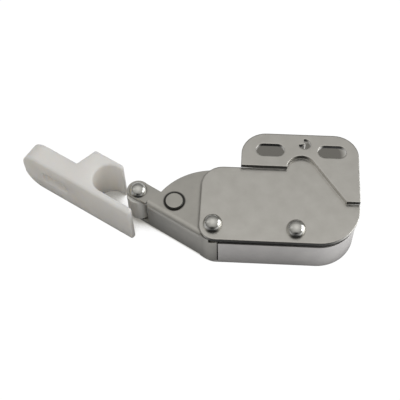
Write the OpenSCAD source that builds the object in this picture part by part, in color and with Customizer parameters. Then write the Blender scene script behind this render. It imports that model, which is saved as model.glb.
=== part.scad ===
// Push-to-open touch latch with its strike. Millimetres.
// X runs along the screw slots, Y from the case to the flange, Z out of the front.
// The origin lies midway between the two slots on the back face of the flange.

/* [Sheet] */
// thickness of the cover and arm sheet
sheet_t = 1.2; // [1.1:0.05:1.3]
// thickness of the rear case sheet
case_t = 0.9; // [0.8:0.05:1.0]
// open height of the lanced step between cover and flange
lance_gap = 0.1; // [0.05:0.05:0.3]

/* [Mounting] */
// distance between the two slot centres
slot_spacing = 17; // [16:0.5:18]
// width of each slot
slot_w = 4.0; // [3.6:0.1:4.4]
// overall length of each slot
slot_l = 7.8; // [7:0.2:8.4]
// height of the flange above the slot centres
flange_rim = 5.4; // [5:0.2:6.2]

/* [Body] */
// distance from the cover front to the case back
case_depth = 13.6; // [13.2:0.1:14]
// distance the case walls sit inside the cover edge
case_inset = 0.4; // [0.3:0.1:0.5]
// gap between the cover back and the case rim
rim_gap = 2.0; // [0.8:0.1:2.2]
// radius of the domed rivet heads
head_r = 2.65; // [2.4:0.05:2.9]
// height of the domed rivet heads
head_h = 2.8; // [2.4:0.1:2.8]

/* [Arm] */
// distance from the pivot to the roller axis along the web
reach = 23.3; // [22.9:0.1:24]
// radius of the roller
roller_r = 3.3; // [3.0:0.1:3.4]
// radius of the rounded sector of the arm
sector_r = 17.8; // [17.4:0.1:17.8]
// radius of the flat stop head
stop_r = 2.6; // [2.3:0.05:2.65]

/* [Strike] */
// width of the strike
strike_w = 14; // [12:0.2:15]
// length of the strike
strike_l = 37.2; // [36:0.2:40]
// radius of the roller pocket
pocket_r = 4.4; // [4.2:0.05:4.5]
// thickness of the screw tongue
tongue_t = 5.7; // [5.2:0.1:6.2]

/* [Fits] */
// radial clearance of a turning bore
run_fit = 0.07; // [0.05:0.01:0.09]
// radial clearance of a riveted hole
hole_fit = 0.04; // [0.02:0.01:0.06]
// side clearance of the arm in the case
side_fit = 0.1; // [0.05:0.05:0.15]

/* [Hidden] */
$fn = 48;

// cover edges, measured from the arm pivot
left = -3.6;
right = 39.1;
bottom = -4.54;
top = 18.3;
r_low_left = 4.5;
r_low_right = 11;
r_top_left = 5.8;
// step line between cover and flange
relief_c = [23.45, 18];
relief_r = 4;
step_dir = -55;
step_low = 7.8;
joint_lap = 0.03;
step_a = relief_c + relief_r * [cos(step_dir + 90), sin(step_dir + 90)];
step_len = (step_a[1] - step_low) / -sin(step_dir);
step_b = step_a + step_len * [cos(step_dir), sin(step_dir)];
// flange
slot_mid = [23.29, 23.63];
flange_left = 6.87;
flange_top = slot_mid[1] + flange_rim;
flange_corner = 6.9;
flange_back = lance_gap;
flange_front = lance_gap + sheet_t;
spur_c = [24.25, 25.95];
spur_r = 1.65;
spur_drop = 2;
spur_t = 0.8;
home = [-slot_mid[0], -slot_mid[1], -flange_back];
// depth levels, cover front at zero
cover_back = -sheet_t;
case_back = -case_depth;
case_in = case_back + case_t;
rim_z = cover_back - rim_gap;
arm_f = cover_back - side_fit;
arm_b = case_in + side_fit;
arm_fi = arm_f - sheet_t;
arm_bi = arm_b + sheet_t;
// arm
web_dir = 149.6;
web_n = web_dir + 90;
wrap_r = 4.2;
bend_r = 1.6;
back_bend_r = 0.6;
wrap_end = 288.5;
wrap_cut = 256;
wrap_top = arm_f - 1.5;
wrap_lap = 25;
web_y = wrap_r - 0.1;
web_from = 0.85;
bend_from = 1.5;
web_stop = 4.55;
web_len = reach - web_stop;
tip_off = 1.6;
ear_r = 3.1;
ear_cut = 2.3;
nose_up = 1.4;
sector_lo = 69;
wall_start = 1.6;
top_start = 7.6;
hub_r = norm([wall_start, bottom + case_inset + case_t]) - 2 * side_fit;
// pivots
pawl_at = [22.06, -0.62];
stop_at = [-10.76, 7.2];
tip_at = reach * [cos(web_dir), sin(web_dir)] + tip_off * [cos(web_n), sin(web_n)];
bush_r = 1.9;
shank_r = 1.4;
pawl_bush_r = 1.45;
pawl_shank_r = 0.9;
tail_h = 0.6;
tail_grow = 0.6;
stop_shank = 1.5;
stop_edge = 0.3;
stop_h = 0.8;
axle_r = 1.18;
axle_head = 2.4;
axle_head_h = 2;
axle_tail = 1.9;
axle_tail_h = 0.5;
roller_gap = 0.2;
// catch
cam_f = -6.5;
cam_b = arm_bi + 0.05;
cam_r = 15.6;
cam_hi = 152;
groove_d = 2.5;
lane_r = 13;
lane_a = 78;
pin_r = 0.8;
lane_half = pin_r + 0.2;
inner_r = 9.2;
cam_hub = bush_r + 0.85;
groove_lo = 73;
groove_hi = 120;
island_lo = 90;
island_hi = 102;
notch_a = 105;
notch_r = (lane_r + inner_r) / 2;
pawl_f = -5;
pawl_t = 1.2;
pawl_b = pawl_f - pawl_t;
pin_at = lane_r * [cos(lane_a), sin(lane_a)];
pawl_vec = pin_at - pawl_at;
pawl_len = norm(pawl_vec);
pawl_dir = atan2(pawl_vec[1], pawl_vec[0]);
pawl_hub = 2.25;
pawl_tip = 1.7;
pawl_bar = 2.6;
hook_out = 6;
hook_r = 0.35;
// springs
coil_gap = 0.15;
wire_gap = 0.05;
arm_wire = 0.3;
arm_coil = bush_r + arm_wire + coil_gap;
arm_leg_a = 56;
pawl_wire = 0.25;
pawl_coil = pawl_bush_r + pawl_wire + coil_gap;
pawl_leg = 7;
// strike
strike_at = [-22.6, 1.85];
strike_turn = -29.6;
strike_h = 11.9;
lip_x = -9.6;
hook_x = -19.6;
lower_t = 1.85;
pocket_at = [-11.2, 6.3];
tongue_end = 5.5;
strike_slot_w = 4.2;
strike_slot_l = 9;
strike_slot_x = -26.2;
steel = [0.68, 0.67, 0.64];
bright = [0.8, 0.8, 0.8];
plastic = [0.93, 0.93, 0.9];
dark = [0.3, 0.3, 0.32];

// helpers
module wedge(a0, a1, big) {
  m = (a0 + a1) / 2;
  polygon([[0, 0], big * [cos(a0), sin(a0)], 2 * big * [cos(m), sin(m)], big * [cos(a1), sin(a1)]]);
}

module pie(r, a0, a1) {
  intersection() {
    circle(r);
    wedge(a0, a1, 3 * r);
  }
}

module corner(x, y, r, a) {
  translate([x, y]) rotate(a) difference() {
    translate([-1, -1]) square(r + 1);
    translate([r, r]) circle(r);
  }
}

module slot2d(l, w) {
  square([l - w, w], center = true);
  for (s = [-1, 1]) translate([s * (l - w) / 2, 0]) circle(w / 2);
}

module slab(z0, z1) {
  translate([0, 0, z0]) linear_extrude(z1 - z0) children();
}

module rod(r, z0, z1) {
  translate([0, 0, z0]) cylinder(r = r, h = z1 - z0);
}

module beyond_step(i) {
  d = [cos(step_dir), sin(step_dir)];
  n = [-d[1], d[0]];
  a = step_a - i * n;
  b = a + d * ((a[1] - step_low + i) / -d[1]);
  polygon([b, [right + 9, step_low - i], [right + 9, top + 20], a - 20 * d]);
}

module box2d(i) {
  difference() {
    translate([left + i, bottom + i]) square([right - left - 2 * i, top - bottom - 2 * i]);
    corner(left + i, bottom + i, r_low_left - i, 0);
    corner(right - i, bottom + i, r_low_right - i, 90);
    corner(left + i, top - i, r_top_left - i, 270);
  }
}

// cover outline, drawn in by i
module body2d(i) {
  difference() {
    box2d(i);
    beyond_step(i);
  }
}

module low_zone() {
  polygon([[-60, top], [relief_c[0], top], step_a, step_b, [step_b[0], -20], [-60, -20]]);
}

module flange2d() {
  difference() {
    translate([flange_left, step_low]) square([right - flange_left, flange_top - step_low]);
    corner(flange_left, flange_top, flange_corner, 270);
    corner(right, flange_top, flange_corner, 180);
    low_zone();
    translate(relief_c) circle(relief_r);
    for (s = [-1, 1]) translate(slot_mid + [s * slot_spacing / 2, 0]) slot2d(slot_l, slot_w);
    translate(spur_c) difference() {
      circle(spur_r);
      wedge(100, 190, 9);
    }
  }
}

module cover2d() {
  difference() {
    union() {
      box2d(0);
      translate(relief_c) circle(relief_r);
      translate(relief_c) rotate(step_dir) square([relief_r, relief_r + 1]);
    }
    beyond_step(-joint_lap);
    circle(shank_r + hole_fit);
    translate(pawl_at) circle(pawl_shank_r + hole_fit);
  }
}

module tail(r, grow) {
  translate([0, 0, case_back]) cylinder(r1 = r + tail_grow + grow, r2 = r + grow, h = tail_h);
}

module rivet(r) {
  cap_r = (head_r * head_r + head_h * head_h) / (2 * head_h);
  rod(r, case_back, 0.2);
  tail(r, 0);
  rotate_extrude() {
    intersection() {
      translate([0, head_h - cap_r]) circle(cap_r);
      square([head_r + 1, head_h + 1]);
    }
  }
}

// sweep of a round wire along a list of points
module wire(path, r, n) {
  k = len(path);
  dirs = [for (i = [0:k - 1]) path[min(i + 1, k - 1)] - path[max(i - 1, 0)]];
  side = [for (d = dirs) let (c = cross(d, [0.02, 0.01, 1])) norm(c) > 0.001 ? c / norm(c) : [1, 0, 0]];
  upn = [for (i = [0:k - 1]) let (c = cross(side[i], dirs[i])) c / norm(c)];
  pts = [for (i = [0:k - 1]) for (j = [0:n - 1])
    path[i] + r * (cos(360 * j / n) * side[i] + sin(360 * j / n) * upn[i])];
  walls = [for (i = [0:k - 2]) for (j = [0:n - 1])
    [i * n + j, i * n + (j + 1) % n, (i + 1) * n + (j + 1) % n, (i + 1) * n + j]];
  first = [[for (j = [0:n - 1]) n - 1 - j]];
  last = [[for (j = [0:n - 1]) (k - 1) * n + j]];
  polyhedron(pts, concat(walls, first, last), convexity = 6);
}

// front plate with the mounting flange
module cover_plate() {
  translate(home) color(steel) {
    slab(cover_back, 0) cover2d();
    slab(flange_back, flange_front) flange2d();
    slab(cover_back, flange_front) translate(step_a)
      rotate(step_dir) translate([0.3, -joint_lap]) square([step_len - 0.7, sheet_t + joint_lap]);
    translate(spur_c) slab(flange_back - spur_drop, flange_front - 0.2)
      rotate(145) translate([-0.1, -spur_t / 2]) square([0.9, spur_t]);
  }
}

// open tray behind the cover
module rear_case() {
  translate(home) color(steel) difference() {
    union() {
      slab(case_back, case_in) body2d(case_inset);
      slab(case_in - 0.01, rim_z) difference() {
        body2d(case_inset);
        body2d(case_inset + case_t);
        translate([left - 9, bottom - 9]) square([wall_start - left + 9, 9 - bottom]);
        translate([left - 9, 0]) square([top_start - left + 9, top + 9]);
      }
    }
    rod(shank_r + hole_fit, case_back - 1, case_in + 1);
    tail(shank_r, hole_fit);
    translate(pawl_at) {
      rod(pawl_shank_r + hole_fit, case_back - 1, case_in + 1);
      tail(pawl_shank_r, hole_fit);
    }
  }
}

// wall bent round the pivot, up to angle a
module wrap2d(a) {
  difference() {
    pie(wrap_r, web_n - wrap_lap, a);
    circle(wrap_r - sheet_t);
  }
}

module web2d() {
  rotate(web_dir) translate([web_from, web_y - sheet_t]) square([web_len - web_from, sheet_t]);
  wrap2d(wrap_cut);
}

// flat outline of one arm plate, with its skirt round the pivot up to angle a
module arm2d(a) {
  difference() {
    union() {
      pie(sector_r, sector_lo, web_dir);
      circle(hub_r);
      pie(wrap_r, web_n - wrap_lap, a);
      rotate(web_dir) {
        translate([web_from, -nose_up]) square([web_len - web_from, nose_up + web_y]);
        translate([web_len - 1, -nose_up]) square([web_stop + 1, nose_up + tip_off + ear_cut]);
        translate([reach, tip_off]) difference() {
          circle(ear_r);
          translate([-9, ear_cut]) square(18);
        }
      }
    }
    circle(bush_r + run_fit);
    translate(stop_at) circle(stop_shank + hole_fit);
    translate(tip_at) circle(axle_r + hole_fit);
  }
}

module bend_cut() {
  corner(web_y, arm_b, back_bend_r, 90);
  corner(web_y, arm_f, bend_r, 180);
}

// bent arm that carries the roller
module swing_arm() {
  translate(home) color(steel) difference() {
    union() {
      slab(arm_fi, arm_f) arm2d(wrap_cut);
      slab(arm_b, arm_bi) arm2d(wrap_end);
      slab(arm_b, arm_f) web2d();
      slab(arm_b, wrap_top) wrap2d(wrap_end);
    }
    rotate([0, 0, web_n]) rotate([90, 0, 0]) translate([0, 0, bend_from])
      linear_extrude(web_len - bend_from + 0.5) bend_cut();
  }
}

// roller at the arm tip
module tip_roller() {
  translate(home) translate(tip_at) color(steel) difference() {
    rod(roller_r, arm_bi + roller_gap, arm_fi - roller_gap);
    rod(axle_r + run_fit, arm_b, arm_f);
  }
}

// riveted axle of the roller
module roller_axle() {
  cap_r = (axle_head * axle_head + axle_head_h * axle_head_h) / (2 * axle_head_h);
  translate(home) translate(tip_at) color(bright) {
    rod(axle_r, arm_b - axle_tail_h, arm_f + 0.2);
    rod(axle_tail, arm_b - axle_tail_h, arm_b - 0.02);
    translate([0, 0, arm_f]) rotate_extrude() intersection() {
      translate([0, axle_head_h - cap_r]) circle(cap_r);
      translate([0, 0.02]) square([axle_head, axle_head_h]);
    }
  }
}

// domed rivet the arm turns on
module pivot_rivet() {
  translate(home) color(bright) rivet(shank_r);
}

// spacer tube on the pivot rivet
module pivot_bush() {
  translate(home) color(steel) difference() {
    rod(bush_r, case_in, cover_back);
    rod(shank_r + hole_fit, case_in - 1, cover_back + 1);
  }
}

// flat headed pin that stops the swing on the cover edge
module stop_pin() {
  translate(home) translate(stop_at) color(bright) {
    edge_z = arm_f + stop_h - stop_edge;
    rod(stop_r, arm_f + 0.02, edge_z);
    translate([0, 0, edge_z]) cylinder(r1 = stop_r, r2 = stop_r - stop_edge, h = stop_edge);
    rod(stop_shank, arm_b, arm_f + 0.1);
  }
}

// moulded block with the catch groove
module heart_cam() {
  translate(home) color(plastic) difference() {
    slab(cam_b, cam_f) {
      pie(cam_r, sector_lo, cam_hi);
      circle(cam_hub);
    }
    rod(bush_r + run_fit, cam_b - 1, cam_f + 1);
    translate(stop_at) rod(stop_shank + hole_fit, cam_b - 1, cam_f + 1);
    slab(cam_f - groove_d, cam_f + 1) difference() {
      pie(lane_r + lane_half, groove_lo, groove_hi);
      circle(inner_r - lane_half);
      difference() {
        pie(lane_r - lane_half, island_lo, island_hi);
        circle(inner_r + lane_half + 0.05);
        translate(notch_r * [cos(notch_a), sin(notch_a)]) circle(pin_r + 0.1);
      }
    }
  }
}

// torsion spring that throws the arm out
module arm_spring() {
  m = arm_coil;
  leg_gap = arm_wire + wire_gap;
  e1 = stop_at + (stop_shank + leg_gap) * [cos(arm_leg_a), sin(arm_leg_a)];
  e2 = pawl_at + [0, pawl_bush_r + leg_gap];
  a1 = atan2(e1[1], e1[0]) - acos(m / norm(e1));
  a2 = atan2(e2[1], e2[0]) + acos(m / norm(e2));
  z1 = cam_f + 0.7;
  z2 = arm_fi - 0.6;
  turn = 3 * 360 + (a2 - a1) + 360;
  coil = [for (i = [0:64]) let (a = a2 - turn * i / 64)
    [m * cos(a), m * sin(a), z2 + (z1 - z2) * i / 64]];
  t1 = [e1[0], e1[1], z1];
  t2 = [e2[0], e2[1], z2];
  f1 = t1 + 1.2 * (t1 - coil[64]) / norm(t1 - coil[64]);
  f2 = t2 + 1.2 * (t2 - coil[0]) / norm(t2 - coil[0]);
  translate(home) color(dark) wire(concat([f2], coil, [f1]), arm_wire, 8);
}

// lever that follows the groove
module pawl() {
  translate(home) color(steel) difference() {
    slab(pawl_b, pawl_f) {
      translate(pawl_at) circle(pawl_hub);
      translate(pin_at) circle(pawl_tip);
      translate(pawl_at) rotate(pawl_dir) translate([0, -pawl_bar / 2]) square([pawl_len, pawl_bar]);
    }
    translate(pawl_at) rod(pawl_bush_r + run_fit, pawl_b - 1, pawl_f + 1);
    translate(pin_at) rod(pin_r + hole_fit, pawl_b - 1, pawl_f + 1);
    translate(pawl_at + hook_out * [cos(pawl_dir), sin(pawl_dir)]) rod(hook_r, pawl_b - 1, pawl_f + 1);
  }
}

// pin of the lever that runs in the groove
module follower_pin() {
  translate(home) translate(pin_at) color(bright) rod(pin_r, cam_f - groove_d + 0.3, pawl_f + 0.3);
}

// domed rivet the lever turns on
module pawl_rivet() {
  translate(home) translate(pawl_at) color(bright) rivet(pawl_shank_r);
}

// spacer tube on the lever rivet
module pawl_bush() {
  translate(home) translate(pawl_at) color(steel) difference() {
    rod(pawl_bush_r, case_in, cover_back);
    rod(pawl_shank_r + hole_fit, case_in - 1, cover_back + 1);
  }
}

// torsion spring of the lever
module pawl_spring() {
  m = pawl_coil;
  z1 = case_in + pawl_wire + wire_gap;
  z2 = pawl_b - pawl_wire - wire_gap;
  a2 = pawl_dir - acos(m / hook_out);
  turn = 7 * 360 + a2 + 90;
  coil = [for (i = [0:112]) let (a = -90 + turn * i / 112)
    [m * cos(a), m * sin(a), z1 + (z2 - z1) * i / 112]];
  h = hook_out * [cos(pawl_dir), sin(pawl_dir)];
  leg = [-pawl_leg, -m - 0.1, z1];
  bend = [h[0], h[1], z2];
  near = 0.06 * coil[112] + 0.94 * bend;
  rise = [h[0], h[1], z2 + hook_r];
  tip = [h[0], h[1], pawl_f + 0.3];
  translate(home) translate(pawl_at) color(dark)
    wire(concat([leg], coil, [near, rise, tip]), pawl_wire, 8);
}

module strike2d() {
  difference() {
    polygon([[-strike_l, 0], [0, 0], [0, lower_t], [lip_x, lower_t], [lip_x, strike_h],
      [hook_x, strike_h], [hook_x - 1.9, tongue_t], [-strike_l, tongue_t]]);
    translate(pocket_at) circle(pocket_r);
    translate([pocket_at[0], lower_t]) square([20, pocket_at[1] + pocket_r - lower_t]);
    corner(lip_x, strike_h, 1, 180);
    corner(-strike_l, tongue_t, 1, 270);
    corner(0, lower_t, 0.8, 180);
  }
}

// plastic strike that goes on the door
module strike() {
  zm = strike_w / 2;
  translate(home) translate([strike_at[0], strike_at[1], case_back]) rotate(strike_turn)
    color(plastic) difference() {
      linear_extrude(strike_w) strike2d();
      translate([0, 20, 0]) rotate([90, 0, 0]) linear_extrude(40) {
        corner(-strike_l, 0, tongue_end, 0);
        corner(-strike_l, strike_w, tongue_end, 270);
        translate([strike_slot_x, zm]) slot2d(strike_slot_l, strike_slot_w);
      }
    }
}

cover_plate();
rear_case();
swing_arm();
tip_roller();
roller_axle();
pivot_rivet();
pivot_bush();
stop_pin();
heart_cam();
arm_spring();
pawl();
follower_pin();
pawl_rivet();
pawl_bush();
pawl_spring();
strike();
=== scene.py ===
# Looks of the touch latch and its strike, with floor, light and camera. Lengths are in metres.
import math

import bmesh
import bpy
from mathutils import Euler, Matrix, Vector


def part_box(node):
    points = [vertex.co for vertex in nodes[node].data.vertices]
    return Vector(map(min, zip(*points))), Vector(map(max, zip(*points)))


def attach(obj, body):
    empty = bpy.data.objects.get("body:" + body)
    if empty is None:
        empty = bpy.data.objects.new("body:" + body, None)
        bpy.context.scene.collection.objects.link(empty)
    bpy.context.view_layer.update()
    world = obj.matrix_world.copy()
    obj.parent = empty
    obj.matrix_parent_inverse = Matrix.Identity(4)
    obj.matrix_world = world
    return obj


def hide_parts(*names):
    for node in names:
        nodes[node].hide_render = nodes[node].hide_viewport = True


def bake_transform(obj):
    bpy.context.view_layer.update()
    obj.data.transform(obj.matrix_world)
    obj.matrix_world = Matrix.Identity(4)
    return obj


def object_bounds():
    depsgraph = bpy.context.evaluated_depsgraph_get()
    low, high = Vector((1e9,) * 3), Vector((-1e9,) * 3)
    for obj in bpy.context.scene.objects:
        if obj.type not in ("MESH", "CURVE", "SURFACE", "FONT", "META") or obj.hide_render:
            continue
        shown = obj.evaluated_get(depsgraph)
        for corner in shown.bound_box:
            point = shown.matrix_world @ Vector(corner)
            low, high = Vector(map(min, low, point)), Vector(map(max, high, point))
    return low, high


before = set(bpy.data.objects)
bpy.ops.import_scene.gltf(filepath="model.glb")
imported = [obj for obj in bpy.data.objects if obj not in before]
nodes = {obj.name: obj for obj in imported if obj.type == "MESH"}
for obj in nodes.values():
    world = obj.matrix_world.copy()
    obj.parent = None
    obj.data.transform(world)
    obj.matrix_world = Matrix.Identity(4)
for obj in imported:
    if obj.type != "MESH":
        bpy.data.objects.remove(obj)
cad_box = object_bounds()
scene = bpy.context.scene
scene.view_settings.view_transform = "Standard"

# tones that several surfaces share
black = (0, 0, 0)
white = (1, 1, 1)
# a dark tone for sheared edges, and for painted shade and shadow
edge_and_shade_dark = (0.05, 0.05, 0.048)

# scale and detail of the noise in each kind of surface, and the part of its range that is used
metal_mottle = (260, 4)
metal_grain = (1800, 2)
plastic_mottle = (120, 3)
plastic_grain = (900, 2)
noise_low = 0.3
noise_high = 0.7

# how far the gloss varies, and how the grain stands out
metal_unevenness = 0.04
plastic_unevenness = 0.05
plastic_relief = 0.03
grain_depth = 0.0001

# how light spreads inside the plastic, by colour and by depth
scatter_colour = (1.0, 0.9, 0.75)
scatter_depth = 0.006

# how many rays look for edges and corners
edge_rays = 6
corner_rays = 8
floor_rays = 24


def feed(tree, socket, value):
    """Links a value that another node gives, or sets one that is the same all over."""
    if isinstance(value, bpy.types.NodeSocket):
        tree.links.new(value, socket)
    elif socket.type == "RGBA":
        socket.default_value = (*value, 1)
    else:
        socket.default_value = value


def add(tree, kind, inputs=None, **settings):
    """A new shader node with its settings and its inputs, which are named or numbered."""
    node = tree.nodes.new("ShaderNode" + kind)
    for name, value in settings.items():
        setattr(node, name, value)
    for name, value in (inputs or {}).items():
        feed(tree, node.inputs[name], value)
    return node


def remap(tree, value, start, end, low=0.0, high=1.0):
    """The value carried from start and end to low and high, and held beyond them."""
    inputs = {"Value": value, "From Min": start, "From Max": end, "To Min": low, "To Max": high}
    return add(tree, "MapRange", inputs).outputs["Result"]


def mixed(tree, share, first, second):
    """The first colour, going over to the second as the share rises to 1."""
    inputs = {"Factor": share, "A": first, "B": second}
    return add(tree, "Mix", inputs, data_type="RGBA").outputs["Result"]


def calculated(tree, operation, first, second):
    """The result of an operation on two numbers."""
    return add(tree, "Math", {0: first, 1: second}, operation=operation).outputs["Value"]


def calculated_vector(tree, operation, first, second):
    """The result of an operation on two vectors."""
    return add(tree, "VectorMath", {0: first, 1: second}, operation=operation).outputs["Vector"]


def parts_of(tree, value):
    """The X, Y and Z outputs of a vector."""
    return add(tree, "SeparateXYZ", {"Vector": value}).outputs


def position(tree):
    """The place of a point in its object's frame."""
    return add(tree, "TexCoord").outputs["Object"]


def openness(tree, reach, rays):
    """How far a point is open to its surroundings: 1 where nothing lies within reach."""
    return add(tree, "AmbientOcclusion", {"Distance": reach}, samples=rays).outputs["AO"]


def noise(tree, scale, detail):
    """A random mottle in the object's frame."""
    inputs = {"Vector": position(tree), "Scale": scale, "Detail": detail}
    return add(tree, "TexNoise", inputs).outputs["Fac"]


def spread(tree, mottle, low, high):
    """A mottle carried to the range from low to high."""
    return remap(tree, mottle, noise_low, noise_high, low, high)


def material(name):
    """A material with one principled shader, its node tree and that shader."""
    made = bpy.data.materials.new(name)
    made.use_nodes = True
    tree = made.node_tree
    tree.nodes.clear()
    shader = add(tree, "BsdfPrincipled")
    add(tree, "OutputMaterial", {"Surface": shader.outputs["BSDF"]})
    return made, tree, shader


def rounded(tree, radius, grain, strength):
    """A normal with soft edges and a fine grain on top."""
    soft = add(tree, "Bevel", {"Radius": radius}, samples=edge_rays).outputs["Normal"]
    inputs = {"Strength": strength, "Distance": grain_depth, "Height": grain, "Normal": soft}
    return add(tree, "Bump", inputs).outputs["Normal"]


def darker_by_facing(tree, colour, tone, axis, dark_at, clear_at):
    """The colour, going over to the tone on faces whose normal along the axis lies near dark_at: shade
    painted by the way a face turns.
    """
    normal = add(tree, "NewGeometry").outputs["True Normal"]
    share = remap(tree, parts_of(tree, normal)[axis], dark_at, clear_at)
    return mixed(tree, share, tone, colour)


def shaded_in_corners(tree, colour, reach, dark_at, clear_at, least):
    """The colour, with painted shade in corners that other faces within reach shut in."""
    share = remap(tree, openness(tree, reach, corner_rays), dark_at, clear_at, least)
    return mixed(tree, share, black, colour)


def ringed(tree, colour, centre, clear_radius, dark_radius):
    """The colour, darkened inside a circle about an upright axis."""
    offset = calculated_vector(tree, "SUBTRACT", position(tree), (*centre, 0))
    flat = calculated_vector(tree, "MULTIPLY", offset, (1, 1, 0))
    radius = add(tree, "VectorMath", {0: flat}, operation="LENGTH").outputs["Value"]
    share = remap(tree, radius, clear_radius, dark_radius)
    return mixed(tree, share, colour, edge_and_shade_dark)


def metal(
    name, low, high, rough, radius=0.0002, metallic=1.0, relief=0.04, edge=None, foot=None, ring=None
):
    """Plated steel with a mottled tone and uneven gloss, and where given, painted shade on faces turned one
    way, in corners and in a ring.
    """
    made, tree, shader = material(name)
    colour = mixed(tree, spread(tree, noise(tree, *metal_mottle), 0, 1), low, high)
    if edge is not None:
        colour = darker_by_facing(tree, colour, *edge)
    if foot is not None:
        colour = shaded_in_corners(tree, colour, *foot)
    if ring is not None:
        colour = ringed(tree, colour, *ring)
    fine = noise(tree, *metal_grain)
    gloss = spread(tree, fine, rough - metal_unevenness, rough + metal_unevenness)
    feed(tree, shader.inputs["Base Color"], colour)
    feed(tree, shader.inputs["Roughness"], gloss)
    feed(tree, shader.inputs["Metallic"], metallic)
    feed(tree, shader.inputs["Normal"], rounded(tree, radius, fine, relief))
    return made


def plastic(name, low, high, rough, radius, scatter):
    """Moulded plastic that lets some light in."""
    made, tree, shader = material(name)
    colour = mixed(tree, spread(tree, noise(tree, *plastic_mottle), 0, 1), low, high)
    fine = noise(tree, *plastic_grain)
    gloss = spread(tree, fine, rough - plastic_unevenness, rough + plastic_unevenness)
    feed(tree, shader.inputs["Base Color"], colour)
    feed(tree, shader.inputs["Roughness"], gloss)
    feed(tree, shader.inputs["Subsurface Weight"], scatter)
    feed(tree, shader.inputs["Subsurface Radius"], scatter_colour)
    feed(tree, shader.inputs["Subsurface Scale"], scatter_depth)
    feed(tree, shader.inputs["Normal"], rounded(tree, radius, fine, plastic_relief))
    return made


def new_object(name, data):
    """An object of its own in the scene."""
    made = bpy.data.objects.new(name, data)
    scene.collection.objects.link(made)
    return made


# sheet metal: an edge, darker by facing, is tone, axis, darkest and clear normal; a foot, painted shade in
# corners, is reach, darkest, clear, least share
# the plate's faces turned to the front are dark: sheared edges, darkened further with painted shade
cover_steel = metal(
    "plate", (0.60, 0.585, 0.55), (0.66, 0.645, 0.61), rough=0.34, radius=0.0005,
    edge=(edge_and_shade_dark, "Y", -0.97, -0.75),
)
# the case gets painted shade where its own faces shut it in, dark inside it
case_steel = metal(
    "case", (0.67, 0.655, 0.65), (0.73, 0.715, 0.705), rough=0.42, metallic=0.75,
    foot=(0.015, 0.25, 0.48, 0.03),
)
# a painted shadow with the dark gap round the flat pin: a dark ring on the arm, a little off the pin's axis
pin_low, pin_high = (Vector(corner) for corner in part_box("stop_pin"))
gap_shadow_shift = Vector((0, 0.0003))
gap_shadow_centre = ((pin_low + pin_high) / 2).xy + gap_shadow_shift
gap_shadow_clear_radius = 0.0032
gap_shadow_dark_radius = 0.0028
# the arm gets painted shade in tight corners near the pin, and the painted shadow ring
arm_steel = metal(
    "arm", (0.48, 0.47, 0.44), (0.54, 0.525, 0.49), rough=0.38,
    foot=(0.0012, 0.4, 0.85, 0.15), ring=(gap_shadow_centre, gap_shadow_clear_radius, gap_shadow_dark_radius),
)
# turned and drawn metal
ground_steel = metal("roller", (0.74, 0.735, 0.71), (0.80, 0.79, 0.76), rough=0.38, metallic=0.5)
# the domes carry painted shade on their faces turned to the front
polished_steel = metal(
    "rivet", (0.61, 0.605, 0.575), (0.69, 0.685, 0.655), rough=0.22, relief=0.02,
    edge=(edge_and_shade_dark, "Y", -0.92, -0.68),
)
# the pin's faces that don't face up, its side and chamfer, carry painted shade
turned_steel = metal(
    "pin", (0.48, 0.47, 0.44), (0.54, 0.53, 0.49), rough=0.36, radius=0.0004,
    edge=((0.06, 0.06, 0.056), "Z", 0.75, 0.95),
)
spring_wire = metal("spring", (0.30, 0.30, 0.30), (0.38, 0.38, 0.38), rough=0.3)
# plastic
block_plastic = plastic(
    "cam", (0.80, 0.80, 0.76), (0.86, 0.86, 0.82), rough=0.45, radius=0.0002, scatter=0.1
)
strike_plastic = plastic(
    "strike", (0.82, 0.80, 0.775), (0.87, 0.85, 0.825), rough=0.4, radius=0.0011, scatter=0.7
)

finishes = {
    "cover_plate": cover_steel,
    "rear_case": case_steel,
    "swing_arm": arm_steel,
    "pawl": arm_steel,
    "tip_roller": ground_steel,
    "pivot_bush": ground_steel,
    "pawl_bush": ground_steel,
    "follower_pin": ground_steel,
    "roller_axle": polished_steel,
    "pivot_rivet": polished_steel,
    "pawl_rivet": polished_steel,
    "stop_pin": turned_steel,
    "arm_spring": spring_wire,
    "pawl_spring": spring_wire,
    "heart_cam": block_plastic,
    "strike": strike_plastic,
}
for name, piece in nodes.items():
    piece.data.materials.clear()
    piece.data.materials.append(finishes[name])

# springs, each copied into a piece of its own: listed with the body that its free leg turns with, a start
# near the coil and an end, which the copy doesn't use
spring_legs = (
    ("arm_spring", "arm", (-0.02522, -0.02189, 0), (-0.02999, -0.01762, 0)),
    ("pawl_spring", "lever", (-0.00203, -0.02242, 0), (-0.00315, -0.01985, 0)),
)
for spring, body, start, end in spring_legs:
    coil = new_object(spring + "_wound", nodes[spring].data.copy())
    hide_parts(spring)
    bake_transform(coil)

# rivets and axle, closed at the pole of their domes
sharp_angle = math.radians(35)
pole_gap = 1e-7
domed_pieces = (("pivot_rivet", "case"), ("pawl_rivet", "case"), ("roller_axle", "arm"))


def closed_dome(name, source):
    """A copy of a mesh with the points of its pole joined."""
    shape = bmesh.new()
    shape.from_mesh(source)
    bmesh.ops.remove_doubles(shape, verts=shape.verts, dist=pole_gap)
    shape.verts.index_update()
    points = [point.co for point in shape.verts]
    faces = [[point.index for point in face.verts] for face in shape.faces]
    mesh = bpy.data.meshes.new(name)
    mesh.from_pydata(points, [], faces)
    shape.free()
    mesh.shade_smooth()
    mesh.set_sharp_from_angle(angle=sharp_angle)
    mesh.materials.append(polished_steel)
    return mesh


for domed, body in domed_pieces:
    head = new_object(domed + "_domed", closed_dome(domed + "_domed", nodes[domed].data))
    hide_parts(domed)
    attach(head, body)

# strike with rounded edges
edge_round = 0.00045
round_steps = 4
round_profile = 0.5
seam_gap = 0.00012
flat_angle = math.radians(1)
narrowest_face = 0.0006
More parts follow.
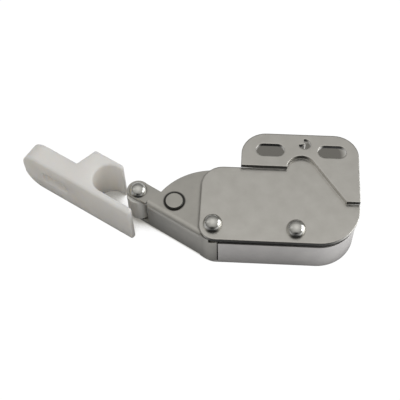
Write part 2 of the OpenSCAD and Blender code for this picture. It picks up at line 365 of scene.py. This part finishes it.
# the strike's own corner and turn, and the foot of the arc at the hook's end, in the strike's own axes
strike_corner = Vector((-0.04589, -0.02178))
strike_turn = math.radians(29.6)
turn_back = Matrix.Rotation(strike_turn, 2)
arc_foot_x = (-0.0098, -0.0094)
arc_foot_y = (0.01075, 0.01135)
upright_share = 0.9


def in_arc_foot(edge):
    """True for the upright edges of the arc's foot, where the hook's end is too short to be rounded."""
    for point in edge.verts:
        x, y = turn_back @ (point.co.xy - strike_corner)
        if not (arc_foot_x[0] < x < arc_foot_x[1] and arc_foot_y[0] < y < arc_foot_y[1]):
            return False
    rise = abs(edge.verts[0].co.z - edge.verts[1].co.z)
    return rise > upright_share * edge.calc_length()


def can_be_rounded(edge):
    """True for a sharp edge between two faces that are wide enough for the rounding."""
    if not edge.is_manifold or edge.calc_face_angle() <= sharp_angle:
        return False
    smallest = min(face.calc_area() for face in edge.link_faces)
    return smallest > narrowest_face * edge.calc_length()


def rounded_strike(name, source):
    """A copy of the strike's mesh with its edges rounded."""
    shape = bmesh.new()
    shape.from_mesh(source)
    bmesh.ops.remove_doubles(shape, verts=shape.verts, dist=seam_gap)
    bmesh.ops.dissolve_limit(shape, angle_limit=flat_angle, verts=shape.verts, edges=shape.edges)
    foot = [edge for edge in shape.edges if in_arc_foot(edge)]
    bmesh.ops.dissolve_edges(shape, edges=foot, use_verts=True)
    sharp = [edge for edge in shape.edges if can_be_rounded(edge)]
    bmesh.ops.bevel(
        shape, geom=sharp, offset=edge_round, segments=round_steps, profile=round_profile,
        affect="EDGES", clamp_overlap=False,
    )
    bmesh.ops.triangulate(shape, faces=shape.faces)
    mesh = bpy.data.meshes.new(name)
    shape.to_mesh(mesh)
    shape.free()
    for face in mesh.polygons:
        face.use_smooth = True
    mesh.materials.append(strike_plastic)
    return mesh


moulded = new_object("moulded_strike", rounded_strike("moulded_strike", nodes["strike"].data))
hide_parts("strike")
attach(moulded, "strike")

# floor: its own finish, and how near the part has to be to shut it in
floor_height = cad_box[0][2]
floor_size = 4
floor_tone = (0.66, 0.64, 0.61)
floor_rough = 0.9
floor_reach = 0.012
# what the camera sees of it: mostly a glow, with painted shade from tight corners to open floor
camera_share = 0.97
white_level = 1.05
corner_open = (0.25, 0.44)
corner_levels = (0.28, white_level)
# what metal mirrors of it, a glow with painted shade beside the part and painted light to the right: from
# beside the part to open floor, and the gain from left to right
mirror_open = (0.5, 0.9)
mirror_levels = (0.14, 0.56)
gain_x = (-0.002, 0.025)
gains = (1.0, 1.9)
# shadow of the flange, dark enough for the slots: it keeps its width towards the case and ends under it
shadow_centre = (0.0004, 0.0075, 0)
shadow_size = (0.0165, 0.0072, 1)
shadow_least = (-10, 0, 0)
shadow_end_y = (-0.012, -0.022)
shadow_fade = (0.3, 0.95)
shadow_levels = (0.135, white_level)
shadow_tint = (1, 0.955, 0.84)


def mirrored_level(tree, open_share, place):
    """How bright metal sees the floor: painted shade beside the part, painted light towards the right end.
    """
    near = remap(tree, open_share, *mirror_open, *mirror_levels)
    right = remap(tree, parts_of(tree, place)["X"], *gain_x, *gains)
    return calculated(tree, "MULTIPLY", near, right)


def shadow(tree, place):
    """The floor's brightness in the shadow that starts under the case and fades behind the flange."""
    inputs = {"Vector": place, "Location": shadow_centre, "Scale": shadow_size}
    scaled = add(tree, "Mapping", inputs, vector_type="TEXTURE").outputs["Vector"]
    behind = calculated_vector(tree, "MAXIMUM", scaled, shadow_least)
    squared = calculated_vector(tree, "MULTIPLY", behind, behind)
    fourth = parts_of(tree, calculated_vector(tree, "MULTIPLY", squared, squared))
    under_case = remap(tree, parts_of(tree, place)["Y"], *shadow_end_y)
    along = calculated(tree, "ADD", fourth["Y"], under_case)
    reach = calculated(tree, "ADD", fourth["X"], along)
    return remap(tree, reach, *shadow_fade, *shadow_levels)


def seen_level(tree, open_share, place):
    """How bright the camera sees the floor: white, apart from painted shade in tight corners and the shadow.
    """
    corners = remap(tree, open_share, *corner_open, *corner_levels)
    return calculated(tree, "MINIMUM", corners, shadow(tree, place))


def make_floor():
    """The floor under the back of the case."""
    bpy.ops.mesh.primitive_plane_add(size=floor_size, location=(0, 0, floor_height))
    plane = bpy.context.object
    plane.name = "floor"
    made, tree, shader = material("floor")
    feed(tree, shader.inputs["Base Color"], floor_tone)
    feed(tree, shader.inputs["Roughness"], floor_rough)
    ray = add(tree, "LightPath").outputs
    place = position(tree)
    open_share = openness(tree, floor_reach, floor_rays)
    dim = add(tree, "Emission", {"Strength": mirrored_level(tree, open_share, place)})
    unseen = add(tree, "MixShader", {
        "Fac": ray["Is Glossy Ray"],
        1: shader.outputs["BSDF"],
        2: dim.outputs["Emission"],
    })
    level = seen_level(tree, open_share, place)
    tint = mixed(tree, level, shadow_tint, white)
    glow = add(tree, "Emission", {"Color": tint, "Strength": level})
    shown = add(tree, "MixShader", {
        "Fac": calculated(tree, "MULTIPLY", ray["Is Camera Ray"], camera_share),
        1: unseen.outputs["Shader"],
        2: glow.outputs["Emission"],
    })
    feed(tree, tree.nodes["Material Output"].inputs["Surface"], shown.outputs["Shader"])
    plane.data.materials.append(made)
    return plane


floor = make_floor()

# surroundings: height of the direction and level of grey, with a warm tint
room_levels = ((0.0, 0.14), (0.8, 0.6), (1.0, 0.85))
room_tint = (1, 0.99, 0.96)
# share of that level in front and behind, by the Y of the direction
front_y = (-0.98, -0.84)
front_shares = (0.03, 1.0)
behind_y = (0.53, 0.64)
behind_shares = (1.0, 0.72)


def make_room():
    """White to the camera, and to everything else a grey room, dark in front and dimmer behind."""
    room = bpy.data.worlds.new("world")
    room.use_nodes = True
    tree = room.node_tree
    tree.nodes.clear()
    way = parts_of(tree, add(tree, "TexCoord").outputs["Generated"])
    ramp = add(tree, "ValToRGB", {"Fac": way["Z"]})
    ramp.color_ramp.elements.new(room_levels[1][0])
    for stop, (height, level) in zip(ramp.color_ramp.elements, room_levels):
        stop.position = height
        stop.color = (*(level * part for part in room_tint), 1)
    front = remap(tree, way["Y"], *front_y, *front_shares)
    behind = remap(tree, way["Y"], *behind_y, *behind_shares)
    strength = calculated(tree, "MULTIPLY", front, behind)
    grey = add(tree, "Background", {"Color": ramp.outputs["Color"], "Strength": strength})
    seen = add(tree, "Background", {"Color": white})
    pick = add(tree, "MixShader", {
        "Fac": add(tree, "LightPath").outputs["Is Camera Ray"],
        1: grey.outputs["Background"],
        2: seen.outputs["Background"],
    })
    add(tree, "OutputWorld", {"Surface": pick.outputs["Shader"]})
    return room


scene.world = make_room()

# lamps: name, place, width and height, power in watts, and whether metal mirrors them
lamp_target = Vector((-0.02, -0.015, -0.006))
lamps = (
    ("top", (-0.03, -0.02, 0.5), (0.4, 0.3), 0.36, False),
    ("front", (0.02, -0.42, 0.42), (0.4, 0.3), 0.08, False),
    ("right", (0.45, 0.04, 0.1), (0.45, 0.2), 0.95, True),
    ("left", (-0.45, 0.0, 0.3), (0.2, 0.3), 0.05, True),
)
for name, place, (width, height), power, mirrored in lamps:
    light = bpy.data.lights.new(name, "AREA")
    light.shape = "RECTANGLE"
    light.size = width
    light.size_y = height
    light.energy = power
    lamp = new_object(name, light)
    lamp.visible_glossy = mirrored
    lamp.location = place
    lamp.rotation_euler = (lamp_target - Vector(place)).to_track_quat("-Z", "Y").to_euler()

# camera fitted to the photo: place, turn in degrees, sensor and lens in millimetres
camera_place = Vector((-0.015533, -0.144551, 0.213506))
camera_turn = (31.0605, 1.0801, 3.3434)
camera_sensor = 36
camera_lens = 83.318
camera_near = 0.01
lens = bpy.data.cameras.new("camera")
lens.sensor_width = camera_sensor
lens.lens = camera_lens
lens.clip_start = camera_near
camera = new_object("camera", lens)
turn = Euler([math.radians(angle) for angle in camera_turn])
camera.matrix_world = Matrix.LocRotScale(camera_place, turn, None)
scene.camera = camera
